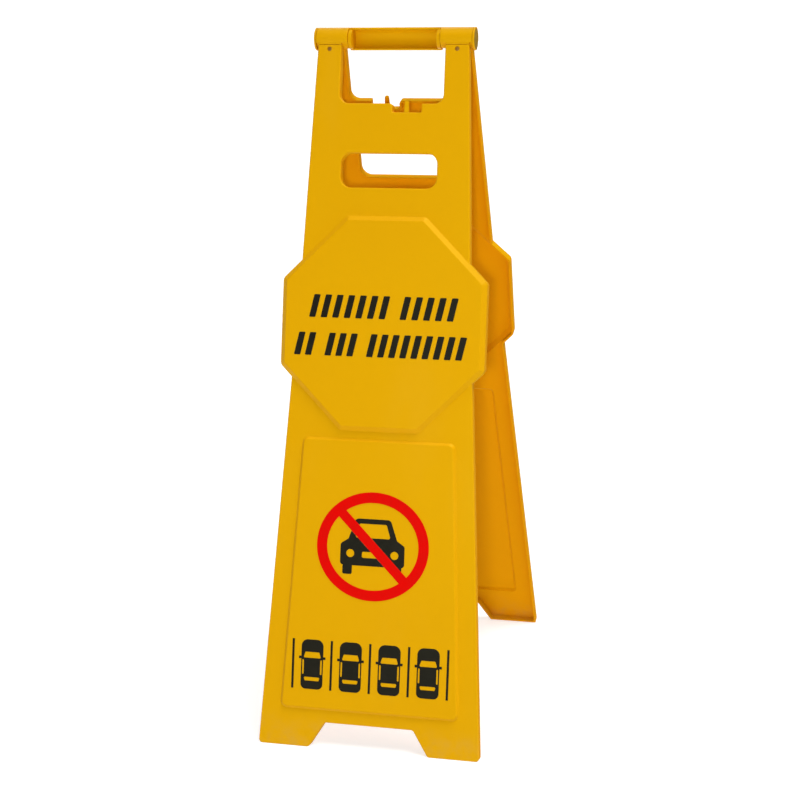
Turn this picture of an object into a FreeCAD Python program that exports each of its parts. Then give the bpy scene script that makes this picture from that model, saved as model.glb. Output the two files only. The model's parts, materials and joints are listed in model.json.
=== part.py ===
"""A folding A-frame parking barricade: two identical moulded leaves joined at the top by a pinned handle.

Every part is drawn in a leaf frame and then placed. In the leaf frame X runs across the leaf, Y runs
up it from the hinge axis (so a point "s" below the axis has Y = -s), and Z is the leaf's outward side.
Lengths are in millimetres and angles in degrees.
"""
import FreeCAD
import Part
import math
import os

V = FreeCAD.Vector

# ---- driving dimensions ----------------------------------------------------------------------------
LEG_LENGTH = 937.0        # hinge axis to the foot, measured along the leaf's outer face
SPLAY = 14.1              # each leaf's lean from the vertical when open
FACE = 13.5               # outer face of the leaf, from the plane through the hinge axis
RIM = 0.4                 # inner rim of the leaf, from the same plane
SKIN = 2.8                # thickness of the face
WALL = 2.6                # thickness of the turned edge all round
EDGE_ROUND = 1.6          # rounding of the face's outer edge
FOOT_SPARE = 0.3          # extra length that the floor plane trims off
FOOT_ROUND = 5.5
CUTOUT_ROUND = 5.0        # corners of the cut-out between the feet
NOOK_ROUND = 2.5          # where the leaf's sides run into the octagon
POST_ROUND = 0.8          # top corners of the posts

LEAF_TOP = 9.2            # where the posts start, below the axis
TOP_HALF = 100.9          # half width of the leaf at its posts
WAIST = (112.7, 291.0)    # half width where the taper changes, and where that is
BOTTOM_HALF = 150.0       # half width of the leaf at its feet
POST_INNER = 69.5         # half width of the hand opening between the posts
OPENING_END = 85.5        # bottom of the hand opening
OPENING_ROUND = 12.0
NOTCH = (2.0, 41.0)       # the notch in the cross-member, across
NOTCH_DEPTH = 11.5
NOTCH_ROUNDS = (4.0, 1.2, 2.0)      # its upper corners, inner and outer, and its lower corners
FINGER_MIDDLE = 21.1      # the finger that stands in the notch
FINGER_RISE = 3.2         # how far it stands above the cross-member's edge
FINGER_TIP_HALF = 2.5     # half its width at the tip
FINGER_ROOT_HALF = 3.3    # and at the root
FINGER_THICK = 4.2
FINGER_INSET = 0.6        # how far it lies under the face
FINGER_TIP_ROUND = 1.6
SLOT_HALF = 64.4          # carrying slot
SLOT_TOP = 150.0
SLOT_END = 195.5
SLOT_ROUND = 14.0

OCTAGON_HALF = 137.1      # half the octagon's width
OCTAGON_HALF_HEIGHT = 141.0
OCTAGON_CUT = 194.1       # its slanting sides run where across + along = this, from its centre
OCTAGON_MIDDLE = 373.2    # its centre, below the axis
OCTAGON_RAISE = 5.0
OCTAGON_BEVEL = 6.3
OCTAGON_CORNER = 9.0
OCTAGON_SOFTEN = 1.6      # rounding of its upper edge
PANEL_TOP = (103.0, 524.3)      # lower raised panel: half width and position of its top edge
PANEL_BOTTOM = (121.6, 886.5)   # and of its bottom edge
PANEL_RAISE = 3.2
PANEL_BEVEL = 3.4
PANEL_CORNER = 9.0
PANEL_SOFTEN = 1.4
PANEL_ROOT = (0.5, 1.0)   # how far the panel's root is inset and sunk, so that it joins the face
PANEL_WALL = 1.4

FOOT_INNER = 81.0         # half width of the cut-out between the feet, at the floor
CUTOUT_TOP = 60.0         # and at its top
CUTOUT_HEIGHT = 34.0

RIB_HALF = 42.0           # the two long stiffening ribs inside the leaf
RIB_THICK = 2.0
RIB_TIP = 4.5             # how near the ribs come to the hinge plane
RIB_STEPS = (232.0, 300.0, 373.0, 446.0, 514.0, 600.0, 690.0, 780.0, 868.0)

HANDLE_OUTER = 15.0       # radius of the handle
HANDLE_INNER = 12.6       # radius of the channel inside it
HANDLE_LIP = 90.0         # upper lip of the channel, as an angle from outward towards up
HANDLE_UNDER = -100.0     # lower lip of the grip
BULKHEAD = (57.0, 61.5)   # walls inside the channel that hold the pins' inner ends
END_WALL = (104.6, 107.2)
BARREL = (62.0, 104.2)    # the front leaf's hinge barrels, across
BARREL_CORE = 12.2        # radius of the part of a barrel that turns inside the channel
STOP_GAP = 1.0            # angle left between a barrel's stop and the handle's lip when open
NECK_ANGLE = -28.0        # where handle and barrels run into their necks
NECK = (69.7, 100.6)
NECK_TOP = 2.0            # the neck starts this far below the axis
TONGUE = (72.5, 97.9)
TONGUE_DEPTH = (5.4, 10.7)
TONGUE_TOP = 6.0
TONGUE_END = 46.0
TONGUE_ROUND = 2.0
TONGUE_GAP = 0.1
GRIP_ROUND = 0.9          # lips of the channel
DISC_ROUND = 1.1          # rims of the end walls
BARREL_ROUND = 0.8        # rims of the barrels
POST_CLEAR = 12.9         # radius swept clear in the tops of the posts

PIN_RADIUS = 3.0
PIN_BORE = 3.08
PIN_INNER_END = 58.6
PIN_OUTER_END = 106.6
CAP_RADIUS = 13.3
CAP_THICK = 1.6
PIN_ROUND = 0.6           # inner end of a pin
TRACE = 0.2               # small overlap by which joined shapes meet

SCREW_AT = (85.3, 14.9)   # across, and below the axis
SCREW_SHANK = 1.5
SCREW_HEAD = 2.8
SCREW_HEAD_DEPTH = 1.3
SCREW_SINK = 1.2          # how far the head sits under the face
SCREW_ROUND = 0.5         # rim of its head
SCREW_TIP = 6.2
SCREW_PLAY = 0.15         # clearance round its shank and head in the face
DRIVE_SLOT = (0.7, 4.2, 0.6)    # width, length and depth of its cross recess
DRIVE_TURN = 20.0

FILM = 0.3                # thickness of the printed films
RING_MIDDLE = (-2.0, 665.0)     # centre of the prohibition ring: across, and below the axis
RING_OUTER = (75.6, 71.6)       # its half width and half height, which differ a little
RING_STROKE = 14.0
SLASH = 13.0
SLASH_LEAN = 45.0
CAR_SCALE = 1.17
CAR_BODY = [(20, 31, 5), (28, 8, 2), (37, 2, 4), (37, -22, 4)]    # right half: across, up, rounding
CAR_WINDSCREEN = [(15.5, 25.5, 2), (20.5, 9.5, 2)]
CAR_GRILLE = [(12, -6, 2), (12, -13, 2)]
CAR_WHEEL = [(23, -21, 2), (34, -21, 2), (34, -32, 2), (23, -32, 2)]
CAR_LAMP = (25.5, 8.5, 4.6)     # across, down and radius
UPPER_STRIPES = (-99.0, 101.0, 336.5, (7, 5))     # from, to, top of the row, and how the bars are grouped
LOWER_STRIPES = (-118.0, 114.0, 386.5, (2, 3, 9))
STRIPE_GAP = 0.8          # extra gap between groups, in bars
STRIPE_HEIGHT = 30.0
STRIPE_WIDTH = 8.6
STRIPE_LEAN = 6.5
STRIPE_ROUND = 1.2
BAY_MIDDLE = 826.0        # the row of parked cars
BAY_PITCH = 52.4
BAY_CARS = 4
BAY_LENGTH = 66.0
BAY_LINE = 3.0
TOP_CAR = [(15, 33, 9), (15, -33, 7)]      # a car from above, right half: across, up, rounding
TOP_WINDSCREEN = [(9.5, 16.5, 1.5), (12.0, 8.5, 1.5)]
TOP_REAR = [(11.0, -17.0, 1.5), (9.5, -22.0, 1.5)]
TOP_SIDE_GLASS = [(11.2, 5.5, 1), (13.4, 7.0, 1), (13.4, -14.0, 1), (11.2, -13.0, 1)]
TOP_MIRROR = [(13.8, 10.5, 0.4), (18.2, 10.5, 0.4), (18.2, 7.0, 0.4), (13.8, 7.0, 0.4)]

HINGE_HEIGHT = LEG_LENGTH * math.cos(math.radians(SPLAY)) - FACE * math.sin(math.radians(SPLAY))
HEEL = (FACE - RIM) * math.tan(math.radians(SPLAY))      # how much shorter a leaf is at its rim
FAR = 2000.0              # longer than anything in the model
CLOSE = 1e-4              # lengths nearer than this are the same
SETTLING_STEPS = 40       # enough for the crossing of taper and octagon to settle


# ---- drawing helpers, all in the leaf frame ---------------------------------------------------------
def rounded_wire(corners, z):
    """A closed wire at height z through corners (x, s, radius), each turned by a tangent arc."""
    edges, points = [], [V(x, -s, z) for x, s, _ in corners]
    count, ends = len(points), []
    for i, (_, _, radius) in enumerate(corners):
        before, here, after = points[i - 1], points[i], points[(i + 1) % count]
        back, ahead = (before - here).normalize(), (after - here).normalize()
        half_turn = back.getAngle(ahead) / 2
        if radius < 0.05 or abs(half_turn - math.pi / 2) < 0.01:
            ends.append((here, here))
            continue
        reach = radius / math.tan(half_turn)
        centre = here + (back + ahead).normalize() * (radius / math.sin(half_turn))
        middle = centre + (here - centre).normalize() * radius
        start, end = here + back * reach, here + ahead * reach
        edges.append(Part.Arc(start, middle, end).toShape())
        ends.append((start, end))
    for i in range(count):
        start, end = ends[i][1], ends[(i + 1) % count][0]
        if start.distanceToPoint(end) > 1e-6:
            edges.append(Part.makeLine(start, end))
    return Part.Wire(Part.__sortEdges__(edges))


def inset(corners, distance):
    """The corners moved inward by distance, or outward if it is negative. Corners run clockwise in (x, s)."""
    moved, count = [], len(corners)
    for i, (x, s, radius) in enumerate(corners):
        before, after = corners[i - 1], corners[(i + 1) % count]
        d1 = V(x - before[0], s - before[1], 0).normalize()
        d2 = V(after[0] - x, after[1] - s, 0).normalize()
        n1, n2 = V(-d1.y, d1.x, 0), V(-d2.y, d2.x, 0)
        turn = d1.x * d2.y - d1.y * d2.x
        shift = (n1 + n2) * (distance / (1 + n1.dot(n2)))
        new_radius = radius - distance if turn > 0 else radius + distance
        moved.append((x + shift.x, s + shift.y, max(new_radius, 0.6)))
    return moved


def prism(corners, low, high):
    return Part.Face(rounded_wire(corners, low)).extrude(V(0, 0, high - low))


def frustum(corners, bevel, low, high):
    return Part.makeLoft([rounded_wire(corners, low), rounded_wire(inset(corners, bevel), high)], True, True)


def box(x0, x1, s0, s1, z0, z1):
    return Part.makeBox(x1 - x0, s1 - s0, z1 - z0, V(x0, -s1, z0))


def rod(radius, x0, x1):
    """A cylinder along the hinge axis."""
    return Part.makeCylinder(radius, x1 - x0, V(x0, 0, 0), V(1, 0, 0))


def peg(x, s, radius, z0, z1):
    """A cylinder square to the leaf."""
    return Part.makeCylinder(radius, z1 - z0, V(x, -s, z0), V(0, 0, 1))


def polar(radius, angle, x):
    a = math.radians(angle)
    return V(x, radius * math.sin(a), radius * math.cos(a))


def ring_sector(inner, outer, a0, a1, x0, x1):
    """Part of a tube round the hinge axis, between two angles taken from outward towards up."""
    middle = (a0 + a1) / 2
    edges = [
        Part.Arc(polar(outer, a0, x0), polar(outer, middle, x0), polar(outer, a1, x0)).toShape(),
        Part.makeLine(polar(outer, a1, x0), polar(inner, a1, x0)),
        Part.Arc(polar(inner, a1, x0), polar(inner, middle, x0), polar(inner, a0, x0)).toShape(),
        Part.makeLine(polar(inner, a0, x0), polar(outer, a0, x0)),
    ]
    return Part.Face(Part.Wire(edges)).extrude(V(x1 - x0, 0, 0))


def fused(shapes):
    whole = shapes[0].multiFuse(shapes[1:]) if len(shapes) > 1 else shapes[0]
    return whole.removeSplitter()


def rounded_where(shape, radius, chosen):
    """Shape with the edges that chosen() picks rounded to radius."""
    edges = [e for e in shape.Edges if chosen(e)]
    return shape.makeFillet(radius, edges) if edges else shape


def same(a, b):
    return abs(a - b) < CLOSE


def on_plane(z):
    return lambda e: same(e.BoundBox.ZMin, z) and same(e.BoundBox.ZMax, z)


def mirrored(shape):
    return shape.mirror(V(0, 0, 0), V(1, 0, 0))


# ---- the leaf -----------------------------------------------------------------------------------------
def octagon_corners():
    """The raised octagon's corners, clockwise from its upper left."""
    wide, tall = OCTAGON_HALF, OCTAGON_HALF_HEIGHT
    along, up = OCTAGON_CUT - tall, OCTAGON_CUT - wide
    shape = [(-along, -tall), (along, -tall), (wide, -up), (wide, up),
             (along, tall), (-along, tall), (-wide, up), (-wide, -up)]
    return [(x, OCTAGON_MIDDLE + s, OCTAGON_CORNER) for x, s in shape]


def edge_half(s):
    """Half width of the tapering leaf, s below the axis."""
    middle_half, middle_s = WAIST
    if s < middle_s:
        return TOP_HALF + (middle_half - TOP_HALF) * (s - LEAF_TOP) / (middle_s - LEAF_TOP)
    return middle_half + (BOTTOM_HALF - middle_half) * (s - middle_s) / (LEG_LENGTH - middle_s)


def octagon_meets_edge(upper):
    """Where a slanting side of the octagon crosses the leaf's side, as (half width, s)."""
    s = OCTAGON_MIDDLE
    for _ in range(SETTLING_STEPS):
        half = edge_half(s)
        over = OCTAGON_CUT - half
        s = OCTAGON_MIDDLE - over if upper else OCTAGON_MIDDLE + over
    return half, s


def leaf_corners(end):
    """The leaf's outline, clockwise from the top of its right post, with its feet ending at s = end."""
    up_half, up_s = octagon_meets_edge(True)
    low_half, low_s = octagon_meets_edge(False)
    flare = (BOTTOM_HALF - low_half) / (LEG_LENGTH - low_s)
    foot_half = low_half + flare * (end - low_s)
    lean = (FOOT_INNER - CUTOUT_TOP) / CUTOUT_HEIGHT
    cut_half = FOOT_INNER + lean * (end - LEG_LENGTH)
    side = OCTAGON_CUT - OCTAGON_HALF
    right = [
        (POST_INNER, LEAF_TOP, POST_ROUND), (TOP_HALF, LEAF_TOP, POST_ROUND), (up_half, up_s, NOOK_ROUND),
        (OCTAGON_HALF, OCTAGON_MIDDLE - side, OCTAGON_CORNER),
        (OCTAGON_HALF, OCTAGON_MIDDLE + side, OCTAGON_CORNER),
        (low_half, low_s, NOOK_ROUND), (foot_half, end, FOOT_ROUND), (cut_half, end, FOOT_ROUND),
        (CUTOUT_TOP, LEG_LENGTH - CUTOUT_HEIGHT, CUTOUT_ROUND),
    ]
    left = [(-x, s, r) for x, s, r in reversed(right)]
    notch_end = OPENING_END + NOTCH_DEPTH
    inner_round, outer_round, low_round = NOTCH_ROUNDS
    opening = [
        (-POST_INNER, OPENING_END, OPENING_ROUND), (NOTCH[0], OPENING_END, inner_round),
        (NOTCH[0], notch_end, low_round), (NOTCH[1], notch_end, low_round),
        (NOTCH[1], OPENING_END, outer_round), (POST_INNER, OPENING_END, OPENING_ROUND),
    ]
    return right + left + opening


def notch_finger():
    """The narrow finger that stands in the notch and a little above the cross-member's edge."""
    tip, root, top = OPENING_END - FINGER_RISE, OPENING_END + NOTCH_DEPTH + WALL / 2, FACE - FINGER_INSET
    corners = [(FINGER_MIDDLE - FINGER_TIP_HALF, tip, FINGER_TIP_ROUND),
               (FINGER_MIDDLE + FINGER_TIP_HALF, tip, FINGER_TIP_ROUND),
               (FINGER_MIDDLE + FINGER_ROOT_HALF, root, 0), (FINGER_MIDDLE - FINGER_ROOT_HALF, root, 0)]
    return prism(corners, top - FINGER_THICK, top)


def slot_corners():
    return [(-SLOT_HALF, SLOT_TOP, SLOT_ROUND), (SLOT_HALF, SLOT_TOP, SLOT_ROUND),
            (SLOT_HALF, SLOT_END, SLOT_ROUND), (-SLOT_HALF, SLOT_END, SLOT_ROUND)]


def lower_panel_corners():
    (top_half, top), (bottom_half, bottom) = PANEL_TOP, PANEL_BOTTOM
    return [(-top_half, top, PANEL_CORNER), (top_half, top, PANEL_CORNER),
            (bottom_half, bottom, PANEL_CORNER), (-bottom_half, bottom, PANEL_CORNER)]


def raised_octagon():
    corners = octagon_corners()
    bevelled = frustum(corners, OCTAGON_BEVEL, FACE, FACE + OCTAGON_RAISE)
    bevelled = rounded_where(bevelled, OCTAGON_SOFTEN, on_plane(FACE + OCTAGON_RAISE))
    return fused([prism(corners, FACE - 2 * EDGE_ROUND, FACE), bevelled])


def raised_lower_panel():
    bevelled = frustum(lower_panel_corners(), PANEL_BEVEL, FACE, FACE + PANEL_RAISE)
    bevelled = rounded_where(bevelled, PANEL_SOFTEN, on_plane(FACE + PANEL_RAISE))
    inset_by, sunk_by = PANEL_ROOT
    return fused([prism(inset(lower_panel_corners(), inset_by), FACE - sunk_by, FACE), bevelled])


def hollow():
    """What is taken out of the leaf's inside: the shallow tray and the backs of the raised shapes."""
    under = FACE - SKIN
    tray = prism(inset(leaf_corners(LEG_LENGTH - HEEL), WALL), RIM - 1.0, under)
    tray = tray.cut(prism(inset(slot_corners(), -WALL), RIM - 2.0, under + 1.0))
    octagon = frustum(inset(octagon_corners(), WALL), OCTAGON_BEVEL, under, under + OCTAGON_RAISE)
    panel = frustum(inset(lower_panel_corners(), PANEL_WALL), PANEL_BEVEL, under, under + PANEL_RAISE)
    return tray, [octagon, panel]


def ribs(tray, recesses):
    """The ladder of stiffening ribs inside the leaf, cut to the hollow that holds it."""
    top, bottom = RIB_STEPS[0], RIB_STEPS[-1]
    z1 = FACE + OCTAGON_RAISE
    t = RIB_THICK / 2
    bars = [box(x - t, x + t, top, bottom, RIB_TIP, z1) for x in (-RIB_HALF, RIB_HALF)]
    bars += [box(-RIB_HALF, RIB_HALF, s - t, s + t, RIB_TIP, z1) for s in RIB_STEPS]
    whole_hollow = fused([tray] + recesses)
    return fused(bars).common(whole_hollow)


def floor_cut():
    """Everything under the floor, seen from a leaf in its open position."""
    slab = Part.makeBox(FAR, FAR, FAR, V(-FAR / 2, -FAR / 2, -FAR))
    slab.translate(V(0, 0, -HINGE_HEIGHT))
    slab.rotate(V(0, 0, 0), V(1, 0, 0), SPLAY - 90)
    return slab


def leaf():
    """One moulded leaf: face, turned edge, raised octagon and panel, ribs, notch and slot."""
    body = prism(leaf_corners(LEG_LENGTH + FOOT_SPARE), RIM, FACE)
    body = body.cut(prism(slot_corners(), RIM - 1, FACE + 1))
    body = rounded_where(body, EDGE_ROUND, on_plane(FACE))
    body = fused([body, raised_octagon(), raised_lower_panel()])
    tray, recesses = hollow()
    stiffeners = ribs(tray, recesses)
    for hole in [tray] + recesses:
        body = body.cut(hole)
    body = fused([body, stiffeners, notch_finger()])
    mouth = box(TONGUE[0] - TONGUE_GAP, TONGUE[1] + TONGUE_GAP, LEAF_TOP - 1, LEAF_TOP + WALL + 1,
                TONGUE_DEPTH[0] - TONGUE_GAP, FACE - SKIN)
    body = body.cut(mouth).cut(mirrored(mouth))
    for side in (-1, 1):
        x, s = side * SCREW_AT[0], SCREW_AT[1]
        body = body.cut(peg(x, s, SCREW_SHANK + SCREW_PLAY, RIM, FACE + 1))
        body = body.cut(peg(x, s, SCREW_HEAD + SCREW_PLAY, FACE - SCREW_SINK - SCREW_HEAD_DEPTH, FACE + 1))
    body = body.cut(rod(POST_CLEAR, -FAR / 2, FAR / 2))
    return body.cut(floor_cut())


# ---- the hinge ----------------------------------------------------------------------------------------
def neck_and_tongue():
    """What joins a barrel or the handle to the post behind it, on the right-hand side."""
    low, high = TONGUE_DEPTH
    neck = box(NECK[0], NECK[1], NECK_TOP, LEAF_TOP - TONGUE_GAP, low, FACE - TONGUE_GAP)
    tongue = box(TONGUE[0], TONGUE[1], TONGUE_TOP, TONGUE_END, low, high - TONGUE_GAP)
    tongue = rounded_where(tongue, TONGUE_ROUND, lambda e: same(e.BoundBox.YMax, -TONGUE_END)
                           and same(e.BoundBox.XLength, 0))
    return [neck, tongue]


def screw_pilot(side):
    return peg(side * SCREW_AT[0], SCREW_AT[1], SCREW_SHANK, TONGUE_DEPTH[0] - 1, FACE)


def handle():
    """The grip: an open channel with end walls, bulkheads for the pins, and a tongue into each post."""
    grip = ring_sector(HANDLE_INNER, HANDLE_OUTER, HANDLE_UNDER, HANDLE_LIP, -BULKHEAD[1], BULKHEAD[1])
    grip = rounded_where(grip, GRIP_ROUND, lambda e: e.BoundBox.XLength > BULKHEAD[1])
    shapes = [grip]
    for side in (-1, 1):
        parts = [
            ring_sector(HANDLE_INNER, HANDLE_OUTER, NECK_ANGLE, HANDLE_LIP, BULKHEAD[0], END_WALL[1]),
            rod(HANDLE_INNER + TRACE, *BULKHEAD),
            rounded_where(rod(HANDLE_OUTER, *END_WALL), DISC_ROUND,
                          lambda e: same(e.BoundBox.XMin, END_WALL[1])),
        ]
        swept = rod(HANDLE_INNER, BULKHEAD[1], END_WALL[0])
        parts += [p.cut(swept) for p in neck_and_tongue()]
        shapes += parts if side > 0 else [mirrored(p) for p in parts]
    whole = fused(shapes)
    socket = rod(PIN_RADIUS, PIN_INNER_END, FAR)
    whole = whole.cut(socket).cut(mirrored(socket))
    for side in (-1, 1):
        whole = whole.cut(screw_pilot(side))
    return whole


def barrel(side):
    """A hinge barrel of the front leaf: a core inside the handle, a stop that meets its lip, and a tongue."""
    stop = 180 - 2 * SPLAY - HANDLE_LIP - STOP_GAP
    core = rod(BARREL_CORE, *BARREL)
    shell = ring_sector(BARREL_CORE - 1, HANDLE_OUTER, NECK_ANGLE, stop, *BARREL)
    shell = rounded_where(shell, BARREL_ROUND, lambda e: same(e.BoundBox.XLength, 0)
                          and e.Curve.TypeId == "Part::GeomCircle" and e.Curve.Radius > BARREL_CORE)
    whole = fused([core, shell] + neck_and_tongue())
    whole = whole.cut(rod(PIN_BORE, 0, FAR)).cut(screw_pilot(1))
    return whole if side > 0 else mirrored(whole)


def hinge_pin(side):
    pin = rounded_where(rod(PIN_RADIUS, PIN_INNER_END, PIN_OUTER_END), PIN_ROUND,
                        lambda e: same(e.BoundBox.XMax, PIN_INNER_END))
    return pin if side > 0 else mirrored(pin)


def pin_cap(side):
    """A domed cover over the end of the handle, with a stub that goes into the pin's hole."""
    outside = END_WALL[1]
    dome_radius = (CAP_RADIUS ** 2 + CAP_THICK ** 2) / (2 * CAP_THICK)
    ball = Part.makeSphere(dome_radius, V(outside + CAP_THICK - dome_radius, 0, 0))
    dome = ball.common(rod(CAP_RADIUS, outside, outside + CAP_THICK + 1))
    cap = fused([dome, rod(PIN_RADIUS, PIN_OUTER_END, outside + TRACE)])
    return cap if side > 0 else mirrored(cap)


def screw(side):
    """A self-tapping screw through the face into a tongue, with its flat head sunk in a recess."""
    x, s = side * SCREW_AT[0], SCREW_AT[1]
    top = FACE - SCREW_SINK
    head = Part.makeCylinder(SCREW_HEAD, SCREW_HEAD_DEPTH, V(x, -s, top - SCREW_HEAD_DEPTH))
    head = rounded_where(head, SCREW_ROUND, on_plane(top))
    shank = peg(x, s, SCREW_SHANK, SCREW_TIP, top - SCREW_HEAD_DEPTH / 2)
    across, length, deep = DRIVE_SLOT
    whole = fused([head, shank])
    for turn in (0, 90):
        groove = Part.makeBox(length, across, deep + 1, V(x - length / 2, -s - across / 2, top - deep))
        groove.rotate(V(x, -s, 0), V(0, 0, 1), turn + DRIVE_TURN)
        whole = whole.cut(groove)
    return whole


def screws():
    return Part.makeCompound([screw(-1), screw(1)])


# ---- printed films --------------------------------------------------------------------------------------
def moved(corners, x, s, scale=1.0):
    """Corners (x, up, radius) about a centre, placed on the leaf."""
    return [(x + cx * scale, s - cy * scale, r * scale) for cx, cy, r in corners]


def film(corners, base):
    return prism(corners, base, base + FILM)


def both_sides(right):
    """A symmetric outline from its right-hand corners, listed from the top down."""
    return [(-x, y, r) for x, y, r in right[:1]] + right + [(-x, y, r) for x, y, r in reversed(right[1:])]


def oval(half_width, half_height, low, high):
    """An upright oval about the ring's centre."""
    wire = Part.Wire(Part.Ellipse(V(0, 0, 0), half_width, half_height).toShape())
    solid = Part.Face(wire).extrude(V(0, 0, high - low))
    solid.translate(V(RING_MIDDLE[0], -RING_MIDDLE[1], low))
    return solid


def one_side(right, side):
    """An outline drawn on the right, or its mirror image on the left."""
    return right if side > 0 else [(-x, y, r) for x, y, r in reversed(right)]


def slash_bar(low, high):
    across, half = RING_OUTER[0], SLASH / 2
    bar = Part.makeBox(2 * across, SLASH, high - low, V(-across, -half, low))
    bar.rotate(V(0, 0, 0), V(0, 0, 1), -SLASH_LEAN)
    bar.translate(V(RING_MIDDLE[0], -RING_MIDDLE[1], 0))
    return bar


def prohibition_ring():
    base, (wide, tall) = FACE + PANEL_RAISE, RING_OUTER
    outer = oval(wide, tall, base, base + FILM)
    hoop = outer.cut(oval(wide - RING_STROKE, tall - RING_STROKE, base - 1, base + 1))
    inner = oval(wide - RING_STROKE / 2, tall - RING_STROKE / 2, base, base + FILM)
    return fused([hoop, slash_bar(base, base + FILM).common(inner)])


def car_symbol():
    """A plain car seen from the front, under the ring's slash."""
    base, at = FACE + PANEL_RAISE, RING_MIDDLE
    shape = film(moved(both_sides(CAR_BODY), *at, CAR_SCALE), base)
    for corners in (CAR_WINDSCREEN, CAR_GRILLE):
        shape = shape.cut(prism(moved(both_sides(corners), *at, CAR_SCALE), base - 1, base + 1))
    across, down, radius = (CAR_SCALE * v for v in CAR_LAMP)
    for side in (-1, 1):
        shape = shape.cut(peg(at[0] + side * across, at[1] + down, radius, base - 1, base + 1))
        shape = shape.fuse(film(moved(one_side(CAR_WHEEL, side), *at, CAR_SCALE), base))
    return shape.removeSplitter().cut(slash_bar(base - 1, base + 1))


def stripe_row(x0, x1, top, groups):
    """A row of slanting bars in groups, where a sign of this kind carries its wording."""
    base, bars = FACE + OCTAGON_RAISE, []
    steps = sum(groups) + STRIPE_GAP * (len(groups) - 1)
    pitch = (x1 - x0 - STRIPE_WIDTH - STRIPE_LEAN) / (steps - 1)
    x = x0
    for group in groups:
        for _ in range(group):
            low, right = top + STRIPE_HEIGHT, x + STRIPE_WIDTH
            corners = [(x + STRIPE_LEAN, top), (right + STRIPE_LEAN, top), (right, low), (x, low)]
            bars.append(film([(cx, cs, STRIPE_ROUND) for cx, cs in corners], base))
            x += pitch
        x += STRIPE_GAP * pitch
    return Part.makeCompound(bars)


def parked_cars():
    """Four cars seen from above, parked between bay lines: every place is taken."""
    base, shapes = FACE + PANEL_RAISE, []
    for i in range(BAY_CARS):
        at = ((i - (BAY_CARS - 1) / 2) * BAY_PITCH, BAY_MIDDLE)
        car = film(moved(both_sides(TOP_CAR), *at), base)
        glass = [both_sides(TOP_WINDSCREEN), both_sides(TOP_REAR)]
        for side in (-1, 1):
            car = car.fuse(film(moved(one_side(TOP_MIRROR, side), *at), base))
            glass.append(one_side(TOP_SIDE_GLASS, side))
        for corners in glass:
            car = car.cut(prism(moved(corners, *at), base - 1, base + 1))
        shapes.append(car.removeSplitter())
    for i in range(BAY_CARS + 1):
        x, half = (i - BAY_CARS / 2) * BAY_PITCH, BAY_LENGTH / 2
        x0, x1, s0, s1 = x - BAY_LINE / 2, x + BAY_LINE / 2, BAY_MIDDLE - half, BAY_MIDDLE + half
        shapes.append(box(x0, x1, s0, s1, base, base + FILM))
    return Part.makeCompound(shapes)


# ---- placing and writing ----------------------------------------------------------------------------------
def place_front(shape):
    placed = shape.copy()
    placed.rotate(V(0, 0, 0), V(1, 0, 0), 90 - SPLAY)
    placed.translate(V(0, 0, HINGE_HEIGHT))
    return placed


def place_back(shape):
    placed = place_front(shape)
    placed.rotate(V(0, 0, 0), V(0, 0, 1), 180)
    return placed


def write(name, shape):
    solids = shape.Solids
    assert solids and all(s.isValid() and s.Volume > 0 for s in solids), name
    whole = solids[0] if len(solids) == 1 else Part.makeCompound(solids)
    whole.exportStep(os.path.join("parts", name + ".step"))
    print(f"{name}: {len(solids)} solid(s), {sum(s.Volume for s in solids) / 1000:.1f} cm3")


def main():
    os.makedirs("parts", exist_ok=True)
    both_leaves = {
        "panel": leaf(), "post_screws": screws(),
        "upper_stripes": stripe_row(*UPPER_STRIPES), "lower_stripes": stripe_row(*LOWER_STRIPES),
        "prohibition_ring": prohibition_ring(),
        "car_symbol": car_symbol(), "parked_cars_row": parked_cars(),
    }
    for name, shape in both_leaves.items():
        write("front_" + name, place_front(shape))
        write("back_" + name, place_back(shape))
    write("top_handle", place_back(handle()))
    for name, side in (("left", -1), ("right", 1)):
        write("front_barrel_" + name, place_front(barrel(side)))
        write("hinge_pin_" + name, place_front(hinge_pin(side)))
        write("pin_cap_" + name, place_front(pin_cap(side)))


main()
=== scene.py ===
"""Looks of the folding parking barricade: moulded yellow leaves, screen-printed symbols, studio light."""
import json
import math

import bpy
from mathutils import Matrix, Vector

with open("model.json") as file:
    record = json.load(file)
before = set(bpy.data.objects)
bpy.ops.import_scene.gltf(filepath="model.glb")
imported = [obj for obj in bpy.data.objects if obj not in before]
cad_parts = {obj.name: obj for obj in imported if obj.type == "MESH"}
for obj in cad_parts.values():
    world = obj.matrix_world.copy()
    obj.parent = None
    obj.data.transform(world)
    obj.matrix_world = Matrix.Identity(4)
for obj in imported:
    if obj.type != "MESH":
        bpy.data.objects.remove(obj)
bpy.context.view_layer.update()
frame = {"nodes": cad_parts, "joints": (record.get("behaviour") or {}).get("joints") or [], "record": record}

# ---- camera, in metres and radians, with its lens and sensor in millimetres -----------------------------
HINGE_MIDDLE = Vector(frame["joints"][0]["pos_m"])
CAMERA_OFFSET = Vector((0.5445, -2.2592, 0.1642))       # from the middle of the hinge axis
CAMERA_YAW = 0.23824
CAMERA_PITCH = -0.2745
CAMERA_ROLL = -0.0206
CAMERA_LENS = 78.56
SENSOR = 36.0
CLIP_END = 200.0

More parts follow.
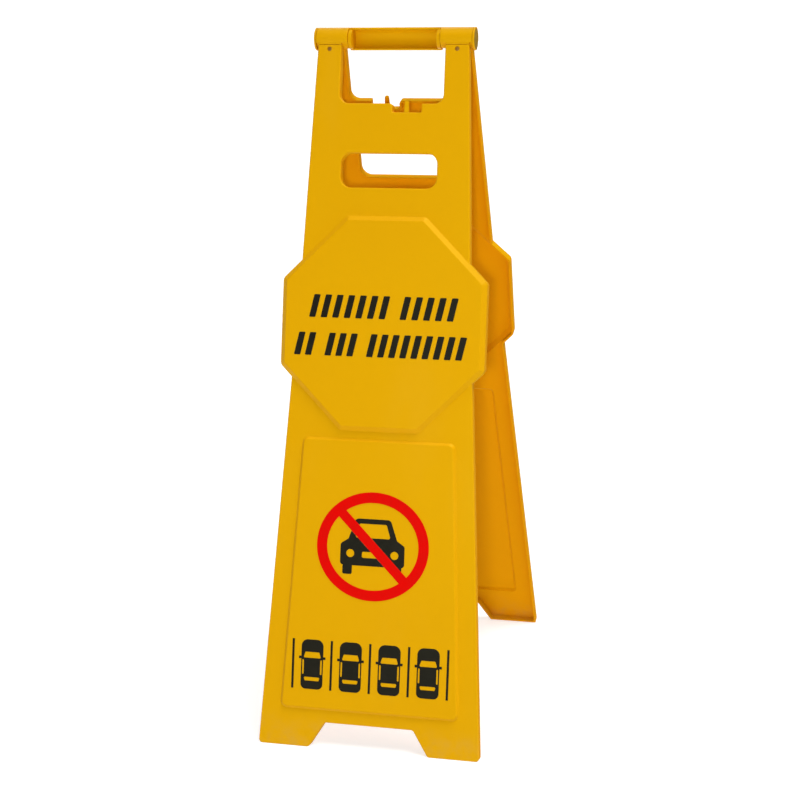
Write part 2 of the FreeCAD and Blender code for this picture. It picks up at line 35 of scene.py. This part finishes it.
# ---- floor and light ------------------------------------------------------------------------------------
FLOOR_RADIUS = 60.0
FLOOR_GREY = (0.55, 0.55, 0.55)
FLOOR_ROUGHNESS = 0.9
FLOOR_SEEN = 0.62               # the glow that makes the paper floor look white
FLOOR_BOUNCE = 0.36             # the glow that it lights the object with
SKY_SEEN = 1.0
SKY = 0.20
SUNS = {                        # strength, where the light comes from, and how wide its source is
    "top_light": (2.65, (0.30, -0.04, 0.95), math.radians(35.0)),
    "back_light": (1.0, (-0.30, 0.90, 0.35), math.radians(60.0)),
}
FRONT_LIGHT = 15.5
FRONT_LIGHT_OFFSET = Vector((-0.10, 0.0, -0.10))        # from the camera
FRONT_LIGHT_SIZE = 0.16

# ---- colours, as linear red, green and blue -------------------------------------------------------------
WHITE = (1.0, 1.0, 1.0)
YELLOW = (0.745, 0.375, 0.0008)
YELLOW_DEEP = (0.670, 0.302, 0.0006)
YELLOW_CHALK = (0.840, 0.540, 0.0800)
# painted shade: the deeper yellow given to faces turned to the side (along X), for the light they don't get
YELLOW_SIDE_SHADE = (0.760, 0.330, 0.0008)
# painted shade: a deeper orange-yellow for the faces that look at the other leaf, for the warm light bounced
# between the leaves
YELLOW_INNER_SHADE = (0.835, 0.358, 0.0006)
# painted shade: the end caps are coloured all over as dark as their shaded end faces look
CAP_OCHRE_SHADE = (0.300, 0.185, 0.028)
BLACK_INK = ((0.0080, 0.0078, 0.0045), (0.013, 0.012, 0.007))       # where the cover is full, and thin
RED_INK = ((0.760, 0.0015, 0.0008), (0.66, 0.003, 0.0015))
ZINC = ((0.46, 0.46, 0.47), (0.30, 0.30, 0.31))                     # middle and rim of a spangle
YELLOW_ZINC = ((0.66, 0.38, 0.08), (0.48, 0.24, 0.06))
RUST = (0.17, 0.055, 0.018)
DUST = (0.42, 0.33, 0.22)
PLASTIC_SHEEN = (1.0, 0.76, 0.04)       # tint of a surface's own reflection, seen square on
BLACK_SHEEN = (1.0, 0.95, 0.75)
RED_SHEEN = (1.0, 0.25, 0.15)

# ---- how finely each finish varies, in repeats per metre ------------------------------------------------
CLOUDS = 5.0
FLOW_MARKS = 9.0
RUBBED_PATCHES = 38.0
GRIME_PATCHES = 45.0
SCRATCHES = 60.0
ORANGE_PEEL = 220.0
SPECKS = 900.0
MOULD_GRAIN = 1500.0
INK_COVER = 70.0
INK_CHIPS = 160.0
INK_RIPPLE = 320.0
SCREEN_WEAVE = 2600.0
RUST_SPOTS = 420.0
SPANGLES = 700.0
PLATE_PITS = 900.0
PAPER_FIBRES = 400.0
DOWN_THE_LEAF = (1.0, 1.0, 0.22)        # flow marks are drawn out along Z
ACROSS_THE_LEAF = (0.25, 0.25, 3.5)     # scratches are drawn out along X

# ---- relief of each finish: strength, and height in metres ----------------------------------------------
PEEL_RELIEF = (0.10, 0.0006)
GRAIN_RELIEF = (0.22, 0.00012)
SCRATCH_RELIEF = (0.12, 0.00006)
WEAVE_RELIEF = (0.15, 0.00005)
RIPPLE_RELIEF = (0.12, 0.0002)
PIT_RELIEF = (0.3, 0.0001)
FIBRE_RELIEF = (0.02, 0.0005)

# ---- where wear and dirt lie, in metres -----------------------------------------------------------------
EDGE_RADIUS = 0.0010                    # edges are shaded as if they were rounded this much
EDGE_SAMPLES = 6
PLASTIC_WEAR = 0.0012                   # how far from an edge it is rubbed pale
INK_WEAR = 0.0006
DUST_HEIGHT = 0.05
GRIP_BOTTOM = HINGE_MIDDLE.z - 0.015    # the grip and the barrels end here, above their tongues
TONGUE_TOP = HINGE_MIDDLE.z - 0.020     # and from here down their faces are all a tongue's

# ---- the values of a noise or of cells between which a mark goes from absent to full --------------------
SHOWS = {
    "clouds": (0.35, 0.7),
    "flow": (0.52, 0.78),
    "specks": (0.60, 0.75),
    "rubbed": (0.42, 0.66),
    "grime": (0.38, 0.75),
    "scratches": (0.66, 0.74),
    "thin_ink": (0.35, 0.7),
    "rubbed_ink": (0.45, 0.62),
    "spangles": (0.1, 0.6),
    "rust": (0.56, 0.70),
}
ROUGHENS = {"clouds": (0.2, 0.8), "ink_cover": (0.25, 0.75), "spangles": (0.0, 0.7)}

# ---- the cosines between which a surface starts to count as turned some way, and fully does -------------
EDGE_TURN = (0.985, 0.86)               # between a surface and its rounded normal
TO_THE_SIDE = (0.80, 0.97)
AWAY_FROM_FACE = (0.50, 0.35)
INWARD = (-0.3, -0.8)

# ---- how much each cause changes a finish, at most ------------------------------------------------------
# side is the share of painted shade on faces turned to the side
PLASTIC_TINT = {"clouds": 0.14, "flow": 0.05, "specks": 0.06, "rubbed": 0.16, "side": 0.7, "grime": 0.14}
PLASTIC_MATT = {"scratches": 0.10, "grime": 0.25, "dull": 0.40}
PLASTIC_ROUGHNESS = (0.42, 0.52)
PLASTIC_GLEAM = (0.50, 0.06)            # where it is clean and smooth, and where it is dull
INNER_DULLNESS = 0.6                    # a wall counts as 1
INK_TINT = {"thin": 0.5, "rubbed": 0.25}
INK_ROUGHNESS = (0.38, 0.52)
INK_GLEAM = 0.16
PLATE_TINT = {"spangles": 0.5, "rust": 0.75}
PLATE_ROUGHNESS = (0.28, 0.42)
RUST_MATT = 0.4
RUST_COVER = 0.8                        # how much of the metal's shine it takes


# ---- node helpers ---------------------------------------------------------------------------------------
class Graph:
    """A material's node tree, with short ways to add to it."""

    def __init__(self, name):
        self.material = bpy.data.materials.new(name)
        self.material.use_nodes = True
        self.nodes = self.material.node_tree.nodes
        self.links = self.material.node_tree.links
        self.nodes.clear()
        output = self.nodes.new("ShaderNodeOutputMaterial")
        self.shader = self.nodes.new("ShaderNodeBsdfPrincipled")
        self.links.new(self.shader.outputs[0], output.inputs["Surface"])
        coordinates = self.nodes.new("ShaderNodeTexCoord")
        self.place = coordinates.outputs["Object"]
        self.facing = coordinates.outputs["Normal"]

    def put(self, value, socket):
        if isinstance(value, bpy.types.NodeSocket):
            self.links.new(value, socket)
        elif isinstance(value, tuple) and socket.type == "RGBA":
            socket.default_value = (*value, 1.0)
        else:
            socket.default_value = value

    def math(self, operation, *values, clamp=False):
        node = self.nodes.new("ShaderNodeMath")
        node.operation, node.use_clamp = operation, clamp
        for value, socket in zip(values, node.inputs):
            self.put(value, socket)
        return node.outputs[0]

    def times(self, a, b):
        return self.math("MULTIPLY", a, b)

    def along(self, axis, vector):
        """A vector's component along one axis."""
        node = self.nodes.new("ShaderNodeSeparateXYZ")
        self.put(vector, node.inputs[0])
        return node.outputs[axis]

    def noise(self, scale, detail=3.0, rough=0.55, stretch=None):
        node = self.nodes.new("ShaderNodeTexNoise")
        self.put(self.stretched(stretch) if stretch else self.place, node.inputs["Vector"])
        for name, value in (("Scale", scale), ("Detail", detail), ("Roughness", rough)):
            node.inputs[name].default_value = value
        return node.outputs["Fac"]

    def cells(self, scale):
        node = self.nodes.new("ShaderNodeTexVoronoi")
        self.put(self.place, node.inputs["Vector"])
        node.inputs["Scale"].default_value = scale
        return node.outputs["Distance"]

    def stretched(self, factors):
        node = self.nodes.new("ShaderNodeMapping")
        self.put(self.place, node.inputs["Vector"])
        node.inputs["Scale"].default_value = factors
        return node.outputs[0]

    def ramp(self, value, low, high, out_low=0.0, out_high=1.0):
        """A smooth step from out_low to out_high as the value goes from low to high."""
        node = self.nodes.new("ShaderNodeMapRange")
        node.interpolation_type = "SMOOTHSTEP"
        for v, socket in zip((value, low, high, out_low, out_high), node.inputs):
            self.put(v, socket)
        return node.outputs[0]

    def mix(self, share, a, b):
        """Colour a, with this share of colour b."""
        node = self.nodes.new("ShaderNodeMix")
        node.data_type = "RGBA"
        factor, first, second = (node.inputs[i] for i in (0, 6, 7))
        self.put(share, factor)
        self.put(a, first)
        self.put(b, second)
        return node.outputs[2]

    def bump(self, height, relief, normal=None, grain=1.0):
        strength, distance = relief
        node = self.nodes.new("ShaderNodeBump")
        self.put(height, node.inputs["Height"])
        node.inputs["Strength"].default_value = strength * grain
        node.inputs["Distance"].default_value = distance
        if normal:
            self.put(normal, node.inputs["Normal"])
        return node.outputs[0]

    def softened(self, radius):
        """The surface normal, turned smoothly round edges as if they were rounded to radius."""
        node = self.nodes.new("ShaderNodeBevel")
        node.samples = EDGE_SAMPLES
        node.inputs["Radius"].default_value = radius
        return node.outputs[0]

    def edges(self, radius):
        """1 on edges and 0 on flat surfaces, from how far a rounded normal turns away."""
        geometry = self.nodes.new("ShaderNodeNewGeometry")
        dot = self.nodes.new("ShaderNodeVectorMath")
        dot.operation = "DOT_PRODUCT"
        self.put(self.softened(radius), dot.inputs[0])
        self.put(geometry.outputs["Normal"], dot.inputs[1])
        return self.ramp(dot.outputs["Value"], *EDGE_TURN)

    def facing_along(self, axis):
        """How squarely the surface faces along an axis, either way, from 0 to 1."""
        return self.math("ABSOLUTE", self.along(axis, self.facing))

    def inside(self):
        """1 where a leaf faces the other leaf, and 0 on the faces that look outwards."""
        leaf_side = self.math("SIGN", self.along("Y", self.place))
        return self.ramp(self.times(self.along("Y", self.facing), leaf_side), *INWARD)

    def finish(self, colour, roughness, normal, metallic=0.0, specular=0.5, tint=WHITE):
        self.put(colour, self.shader.inputs["Base Color"])
        self.put(roughness, self.shader.inputs["Roughness"])
        self.put(normal, self.shader.inputs["Normal"])
        self.put(metallic, self.shader.inputs["Metallic"])
        self.put(specular, self.shader.inputs["Specular IOR Level"])
        self.put(tint, self.shader.inputs["Specular Tint"])
        return self.material


# ---- finishes -------------------------------------------------------------------------------------------
def yellow_plastic(name, leaf=False, grain=1.0, gloss=0.0, base=YELLOW, side_shade_tone=YELLOW_SIDE_SHADE):
    """Injection-moulded polypropylene: fine grain, faint flow marks, pale rubbed edges, some floor dust.

    It is painted a deeper orange-yellow, as shade and warm bounced light, on the faces that look at the
    other leaf. On a leaf that is the whole inner side. On the grip and the barrels it is only the tongues
    that go down inside the posts. Faces turned to the side are painted a deeper yellow as shade, too."""
    g = Graph(name)
    clouds = g.noise(CLOUDS, detail=4.0)
    flow = g.noise(FLOW_MARKS, detail=5.0, rough=0.6, stretch=DOWN_THE_LEAF)
    specks = g.noise(SPECKS, detail=2.0)
    colour = g.mix(g.ramp(clouds, *SHOWS["clouds"], 0.0, PLASTIC_TINT["clouds"]), base, YELLOW_DEEP)
    colour = g.mix(g.ramp(flow, *SHOWS["flow"], 0.0, PLASTIC_TINT["flow"]), colour, YELLOW_CHALK)
    colour = g.mix(g.ramp(specks, *SHOWS["specks"], 0.0, PLASTIC_TINT["specks"]), colour, YELLOW_DEEP)

    patches = g.ramp(g.noise(RUBBED_PATCHES, detail=5.0, rough=0.7), *SHOWS["rubbed"])
    rubbed = g.times(g.edges(PLASTIC_WEAR), patches)
    colour = g.mix(g.times(rubbed, PLASTIC_TINT["rubbed"]), colour, YELLOW_CHALK)

    height = g.along("Z", g.place)
    inner_shade_and_dullness = g.inside()
    if not leaf:
        inner_shade_and_dullness = g.times(inner_shade_and_dullness, g.ramp(height, GRIP_BOTTOM, TONGUE_TOP))
    # painted shade on the faces that look at the other leaf; the same mask also dulls them
    colour = g.mix(inner_shade_and_dullness, colour, YELLOW_INNER_SHADE)
    side = g.ramp(g.facing_along("X"), *TO_THE_SIDE)
    # painted shade: faces turned to the side take on the side shade tone
    colour = g.mix(g.times(side, PLASTIC_TINT["side"]), colour, side_shade_tone)

    grime_patches = g.ramp(g.noise(GRIME_PATCHES, detail=6.0, rough=0.7), *SHOWS["grime"])
    grime = g.times(g.ramp(height, DUST_HEIGHT, 0.0), grime_patches)
    colour = g.mix(g.times(grime, PLASTIC_TINT["grime"]), colour, DUST)

    scratches = g.noise(SCRATCHES, detail=6.0, rough=0.75, stretch=ACROSS_THE_LEAF)
    scratches = g.ramp(scratches, *SHOWS["scratches"])
    wall = g.ramp(g.facing_along("Y"), *AWAY_FROM_FACE) if leaf else side
    dull = g.math("MAXIMUM", wall, g.times(inner_shade_and_dullness, INNER_DULLNESS))
    smooth, rough = PLASTIC_ROUGHNESS
    roughness = g.ramp(clouds, *ROUGHENS["clouds"], smooth - gloss, rough - gloss)
    roughness = g.math("ADD", roughness, g.times(scratches, PLASTIC_MATT["scratches"]))
    roughness = g.math("ADD", roughness, g.times(grime, PLASTIC_MATT["grime"]))
    roughness = g.math("ADD", roughness, g.times(dull, PLASTIC_MATT["dull"]), clamp=True)
    gleam = g.ramp(dull, 0.0, 1.0, *PLASTIC_GLEAM)

    normal = g.bump(g.noise(ORANGE_PEEL, detail=2.0), PEEL_RELIEF, g.softened(EDGE_RADIUS), grain)
    normal = g.bump(g.cells(MOULD_GRAIN), GRAIN_RELIEF, normal, grain)
    normal = g.bump(scratches, SCRATCH_RELIEF, normal)
    return g.finish(colour, roughness, normal, specular=gleam, tint=PLASTIC_SHEEN)


def ink(name, tones, sheen):
    """Screen-printed ink: slightly uneven cover, the mesh's faint weave, a soft sheen."""
    g = Graph(name)
    cover = g.noise(INK_COVER, detail=5.0, rough=0.65)
    colour = g.mix(g.ramp(cover, *SHOWS["thin_ink"], 0.0, INK_TINT["thin"]), *tones)
    chips = g.ramp(g.noise(INK_CHIPS, detail=4.0), *SHOWS["rubbed_ink"])
    rubbed = g.times(g.edges(INK_WEAR), chips)
    colour = g.mix(g.times(rubbed, INK_TINT["rubbed"]), colour, YELLOW_CHALK)
    roughness = g.ramp(cover, *ROUGHENS["ink_cover"], *INK_ROUGHNESS)
    weave = g.bump(g.cells(SCREEN_WEAVE), WEAVE_RELIEF)
    normal = g.bump(g.noise(INK_RIPPLE, detail=3.0), RIPPLE_RELIEF, weave)
    return g.finish(colour, roughness, normal, specular=INK_GLEAM, tint=sheen)


def zinc_steel(name, tones):
    """Zinc-plated steel with dull spangles and a little rust."""
    g = Graph(name)
    spangles = g.cells(SPANGLES)
    colour = g.mix(g.ramp(spangles, *SHOWS["spangles"], 0.0, PLATE_TINT["spangles"]), *tones)
    rust = g.ramp(g.noise(RUST_SPOTS, detail=6.0, rough=0.7), *SHOWS["rust"])
    colour = g.mix(g.times(rust, PLATE_TINT["rust"]), colour, RUST)
    roughness = g.ramp(spangles, *ROUGHENS["spangles"], *PLATE_ROUGHNESS)
    roughness = g.math("ADD", roughness, g.times(rust, RUST_MATT), clamp=True)
    metal = g.math("SUBTRACT", 1.0, g.times(rust, RUST_COVER))
    normal = g.bump(g.noise(PLATE_PITS, detail=4.0), PIT_RELIEF)
    return g.finish(colour, roughness, normal, metallic=metal)


def dress_nodes():
    """Gives each CAD node the material that its slot in the record calls for."""
    finishes = {
        "panel_yellow": yellow_plastic("moulded_yellow", leaf=True),
        "handle_yellow": yellow_plastic("moulded_yellow_grip", grain=0.7, gloss=0.08),
        # the caps' dark ochre is painted shade; their side faces get no further shade
        "cap_ochre": yellow_plastic("ochre_cap_painted_shade", grain=0.5, base=CAP_OCHRE_SHADE, side_shade_tone=CAP_OCHRE_SHADE),
        "pin_steel": zinc_steel("zinc_pin", ZINC),
        "screw_steel": zinc_steel("yellow_zinc_screw", YELLOW_ZINC),
        "print_black": ink("black_ink", BLACK_INK, BLACK_SHEEN),
        "print_red": ink("red_ink", RED_INK, RED_SHEEN),
    }
    slots = {row["node"]: row["material_slot"] for row in frame["record"]["subparts"]}
    for name, node in frame["nodes"].items():
        for slot in node.material_slots:
            slot.material = finishes[slots[name]]


# ---- stage ----------------------------------------------------------------------------------------------
def seen_or_lit(nodes, links, seen, lit):
    """A strength that is one thing to look at and another as a source of light."""
    level = nodes.new("ShaderNodeMath")
    level.operation = "MULTIPLY_ADD"
    links.new(nodes.new("ShaderNodeLightPath").outputs["Is Camera Ray"], level.inputs[0])
    level.inputs[1].default_value = seen - lit
    level.inputs[2].default_value = lit
    return level.outputs[0]


def floor():
    paper = Graph("pale_floor")
    glow = seen_or_lit(paper.nodes, paper.links, FLOOR_SEEN, FLOOR_BOUNCE)
    paper.put(WHITE, paper.shader.inputs["Emission Color"])
    paper.put(glow, paper.shader.inputs["Emission Strength"])
    fibres = paper.bump(paper.noise(PAPER_FIBRES), FIBRE_RELIEF)
    paper.finish(FLOOR_GREY, FLOOR_ROUGHNESS, fibres, specular=0.0)
    bpy.ops.mesh.primitive_circle_add(vertices=96, radius=FLOOR_RADIUS, fill_type="NGON")
    plane = bpy.context.object
    plane.name = "floor"
    plane.data.materials.append(paper.material)


def shine(light, source, location=(0.0, 0.0, 0.0)):
    """Puts a light in the scene, with its rays coming from the direction of source."""
    lamp = bpy.data.objects.new(light.name, light)
    lamp.location = location
    lamp.rotation_euler = source.to_track_quat("Z", "Y").to_euler()
    bpy.context.scene.collection.objects.link(lamp)


def lights():
    """A dim even sky that looks white, wide lights overhead and behind, and a small one by the camera."""
    world = bpy.data.worlds.new("studio")
    bpy.context.scene.world = world
    world.use_nodes = True
    nodes, links = world.node_tree.nodes, world.node_tree.links
    nodes["Background"].inputs["Color"].default_value = (*WHITE, 1.0)
    links.new(seen_or_lit(nodes, links, SKY_SEEN, SKY), nodes["Background"].inputs["Strength"])

    for name, (strength, source, width) in SUNS.items():
        light = bpy.data.lights.new(name, "SUN")
        light.energy, light.angle = strength, width
        shine(light, Vector(source))

    light = bpy.data.lights.new("front_light", "AREA")
    light.shape, light.size, light.energy = "DISK", FRONT_LIGHT_SIZE, FRONT_LIGHT
    location = HINGE_MIDDLE + CAMERA_OFFSET + FRONT_LIGHT_OFFSET
    shine(light, location - HINGE_MIDDLE / 2, location)


def camera():
    data = bpy.data.cameras.new("camera")
    data.lens, data.sensor_width, data.clip_end = CAMERA_LENS, SENSOR, CLIP_END
    ahead = Vector((
        -math.sin(CAMERA_YAW) * math.cos(CAMERA_PITCH),
        math.cos(CAMERA_YAW) * math.cos(CAMERA_PITCH),
        math.sin(CAMERA_PITCH),
    ))
    level = Vector((math.cos(CAMERA_YAW), math.sin(CAMERA_YAW), 0.0))
    upright = level.cross(ahead)
    right = math.cos(CAMERA_ROLL) * level + math.sin(CAMERA_ROLL) * upright
    up = math.cos(CAMERA_ROLL) * upright - math.sin(CAMERA_ROLL) * level
    turn = Matrix((right, up, -ahead)).transposed().to_4x4()
    placed = bpy.data.objects.new("camera", data)
    placed.matrix_world = Matrix.Translation(HINGE_MIDDLE + CAMERA_OFFSET) @ turn
    bpy.context.scene.collection.objects.link(placed)
    bpy.context.scene.camera = placed


camera()
lights()
floor()
dress_nodes()
bpy.context.scene.view_settings.view_transform = "Standard"
